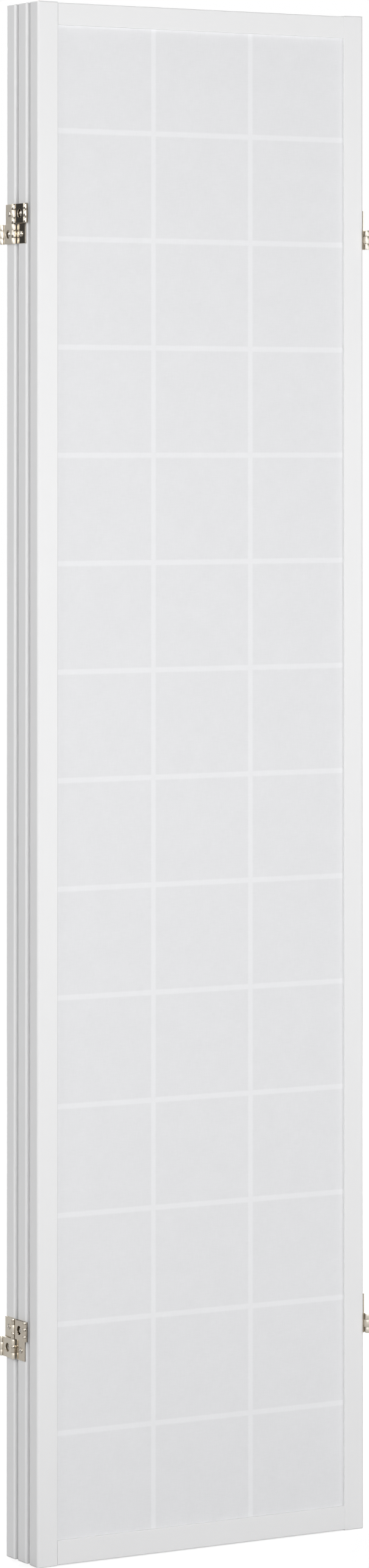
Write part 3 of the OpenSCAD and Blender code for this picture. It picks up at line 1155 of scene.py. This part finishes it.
@dataclass
class FoldingScreen:
    """The three panels, the four hinges, their pins and their screws."""

    sizes: HingeSizes = field(default_factory=HingeSizes)
    columns: int = 3
    rows: int = 14
    bar_width: float = 6.0 * MM
    leaf_metal: PlatedMetal = PlatedMetal("satin_nickel", (0.697, 0.641, 0.548),
                                          roughness=0.37, mottling=0.03)
    # Painted reflection: the middle panel's hinge pieces are the same nickel coloured darker,
    # for the dark studio that they mirror, with a finer polish
    middle_metal: PlatedMetal = PlatedMetal("polished_nickel", (0.59, 0.53, 0.445),
                                            roughness=0.12)
    pin_metal: PlatedMetal = PlatedMetal("pin_steel", (0.50, 0.48, 0.45), roughness=0.26)
    screw_metal: PlatedMetal = PlatedMetal("bright_nickel", (0.50, 0.47, 0.425),
                                           roughness=0.13, mottling=0.02)

    def lattice(self) -> tuple[Pair, Pair]:
        """Pitch and place of the lattice, from the front panel's opening.

        The opening is shared among the cells and the bars between them. The first bar of
        the repeat lies half a bar outside the opening's low edge.

        Returns:
            The pitch and the offset, each for X and Z.
        """
        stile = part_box("front_left_stile")[1]
        low = (stile.x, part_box("front_bottom_rail")[1].z)
        high = (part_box("front_right_stile")[0].x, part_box("front_top_rail")[0].z)
        counts = (self.columns, self.rows)
        pitch = tuple((top - bottom + self.bar_width) / count
                      for bottom, top, count in zip(low, high, counts))
        offset = tuple(bottom - self.bar_width / 2 for bottom in low)
        return pitch, offset

    def build(self) -> None:
        """Makes and dresses every part of the screen."""
        pitch, offset = self.lattice()
        upright = SatinPaint("white_satin_upright", Grain.UPRIGHT).material()
        level = SatinPaint("white_satin_level", Grain.ACROSS).material()
        beech = BareBeech("beech").material()
        paper = ScreenPaper("long_fibre_paper", pitch, offset, self.bar_width).material()
        for name in PanelName:
            Panel(name, upright, level, beech).dress()
            PaperSheet(name, paper, pitch, offset).build()
        # The second metal is the hinge nickel with painted dark reflection, for the middle
        # panel's pieces
        satin, dark_painted_polish = self.leaf_metal.material(), self.middle_metal.material()
        steel, bright = self.pin_metal.material(), self.screw_metal.material()
        seats: dict[PanelName, list[Seat]] = {name: [] for name in PanelName}
        for side in Side:
            for level_name in Level:
                hinge = Hinge(side, level_name, self.sizes, satin, dark_painted_polish)
                hinge.build()
                for panel in (side.outer_panel, PanelName.MIDDLE):
                    seats[panel].append(hinge.seat(panel))
            for pins in ("fold", "swing", "middle_link", "stub"):
                dress_node(f"{side.word}_{pins}_pins", steel)
        for name in PanelName:
            ScrewSet(name, self.sizes, bright).build(seats[name])


# The stage


@dataclass(frozen=True)
class SoftBox:
    """A square studio lamp."""

    name: str
    place: Triple
    size: float
    power: float
    aim: Triple = (0.0, 0.0, 1.1)

    def build(self) -> None:
        """Makes the lamp, facing what it is aimed at."""
        data = bpy.data.lights.new(self.name, "AREA")
        data.shape = "SQUARE"
        data.size = self.size
        data.energy = self.power
        lamp = bpy.data.objects.new(self.name, data)
        lamp.location = self.place
        ahead = np.array(self.aim) - np.array(self.place)
        flat = math.hypot(ahead[0], ahead[1])
        lamp.rotation_euler = (math.atan2(flat, -ahead[2]), 0.0, math.atan2(-ahead[0], ahead[1]))
        bpy.context.scene.collection.objects.link(lamp)


@dataclass(frozen=True)
class ViewPoint:
    """The photograph's camera, fitted to the panel's corners and the lattice."""

    place: Triple = (-3.0547, -5.2467, 1.2786)
    yaw: float = math.radians(30.18)
    pitch: float = math.radians(0.84)
    picture_height: int = 2576
    focal_pixels: float = 8512.7
    centre_row: float = 609.86
    sensor: float = 36.0
    farthest: float = 200.0

    def build(self) -> None:
        """Makes the camera and the scene's active one.

        Its lens is the focal length in pixels over the picture's long side, times the
        sensor. Its shift is how far the optical axis lies above the picture's middle.
        """
        data = bpy.data.cameras.new("view_point")
        data.sensor_width = self.sensor
        data.lens = self.focal_pixels / self.picture_height * self.sensor
        data.shift_y = (self.centre_row - self.picture_height / 2) / self.picture_height
        data.clip_end = self.farthest
        camera = bpy.data.objects.new("view_point", data)
        camera.location = self.place
        camera.rotation_euler = (QUARTER + self.pitch, 0.0, -self.yaw)
        bpy.context.scene.collection.objects.link(camera)
        bpy.context.scene.camera = camera


@dataclass
class Studio:
    """Pale floor, white backdrop, soft lamps and the camera.

    Each step holds the two values between which a smooth step rises.
    """

    ambient: float = 0.10
    floor_half: float = 40.0
    floor_drop: float = 0.2 * MM
    floor_tone: float = 0.62
    near_glow: float = 0.62
    far_glow: float = 0.95
    glow_step: Pair = (0.6, 3.5)
    floor_mirrored: float = 0.22
    dark_side: float = 0.06
    bright_towards: Triple = (-0.80, 0.60, 0.0)
    bright_step: Pair = (-0.15, 0.2)
    curtain_across: Triple = (-0.864, -0.503, 0.0)
    curtain_step: Pair = (0.13, 0.22)
    lamps: tuple[SoftBox, ...] = (
        SoftBox("key", (-1.75, -3.0, 1.6), size=1.8, power=58.5),
        SoftBox("right_fill", (1.9, -3.2, 1.6), size=1.8, power=23.5),
        SoftBox("right_low", (1.9, -3.2, 0.9), size=1.8, power=25.0),
        SoftBox("left_front", (-3.56, -1.03, 1.8), size=0.5, power=18.0),
        SoftBox("left_back", (-3.2, 1.8, 2.4), size=2.2, power=22.5),
        SoftBox("left_high", (-2.2, 0.3, 3.2), size=2.2, power=4.0),
        SoftBox("right_back", (1.6, 4.2, 2.6), size=2.4, power=150.0, aim=(0.0, 0.0, 1.0)),
        SoftBox("overhead", (0.0, 0.4, 4.4), size=1.6, power=10.0, aim=(0.0, 0.4, 0.0)),
    )

    def world(self) -> None:
        """Light from all round, white to the camera and to glass.

        A shiny surface sees a white studio behind and to the left of the screen, and its
        dark side behind the camera: the brightness is a smooth step of the direction's
        share along the bright side. A dark curtain stands in the bright side, where a
        hinge's plates mirror it to the camera: a smooth step of the direction's share
        across the curtain.
        """
        world = bpy.data.worlds.new("studio")
        bpy.context.scene.world = world
        graph = Graph(world)
        towards = graph.add("TexCoord").outputs["Generated"]
        share = graph.along(towards, self.bright_towards)
        across = graph.math("ABSOLUTE", graph.along(towards, self.curtain_across))
        seen = graph.math("MULTIPLY", graph.smooth(share, self.dark_side, 1.0, self.bright_step),
                          graph.smooth(across, self.dark_side, 1.0, self.curtain_step))
        direct, mirrored = graph.rays()
        glossy = graph.math("MULTIPLY", seen, mirrored)
        shown = graph.math("MAXIMUM", direct, mirrored)
        plain = graph.math("MULTIPLY", graph.math("SUBTRACT", 1.0, shown), self.ambient)
        strength = graph.math("ADD", graph.math("MAXIMUM", direct, glossy), plain)
        backdrop = graph.add("Background", {"Color": (1, 1, 1, 1), "Strength": strength})
        output = graph.add("OutputWorld")
        graph.tree.links.new(backdrop.outputs[0], output.inputs["Surface"])

    def floor_finish(self) -> Material:
        """Pale matt floor that glows to the camera, and less to shiny surfaces.

        The lamps light the floor round the screen, so it glows less there and keeps the
        screen's soft shadow. The glow rises with a smooth step of the distance from the
        origin.

        Returns:
            The material.
        """
        made, graph, place = new_finish("pale_floor")
        away = graph.add("VectorMath", {0: place}, operation="LENGTH").outputs["Value"]
        glow = graph.smooth(away, self.near_glow, self.far_glow, self.glow_step)
        direct, mirrored = graph.rays()
        strength = graph.math("ADD", graph.math("MULTIPLY", direct, glow),
                              graph.math("MULTIPLY", mirrored, self.floor_mirrored))
        tone = (self.floor_tone,) * 3 + (1.0,)
        matt = graph.add("BsdfDiffuse", {"Color": tone})
        shine = graph.add("Emission", {"Strength": strength})
        graph.finish(graph.add("AddShader", {0: matt.outputs[0], 1: shine.outputs[0]}))
        return made

    def build(self) -> None:
        """Makes the floor, the world, the lamps and the camera."""
        half = self.floor_half
        corners = np.array([[-half, -half], [half, -half], [half, half], [-half, half]])
        points = np.concatenate([corners, np.full((4, 1), -self.floor_drop)], axis=1)
        sheet = Surface(points, np.array([[0, 1, 2, 3]]), np.zeros((0, 3), int))
        piece_from(sheet, "floor", self.floor_finish())
        self.world()
        for lamp in self.lamps:
            lamp.build()
        ViewPoint().build()
        bpy.context.scene.view_settings.view_transform = "Standard"


def main() -> None:
    """Builds the stage and the screen."""
    logging.basicConfig(level=logging.INFO, format="%(name)s: %(message)s")
    Studio().build()
    FoldingScreen().build()


if __name__ == "__main__":
    main()
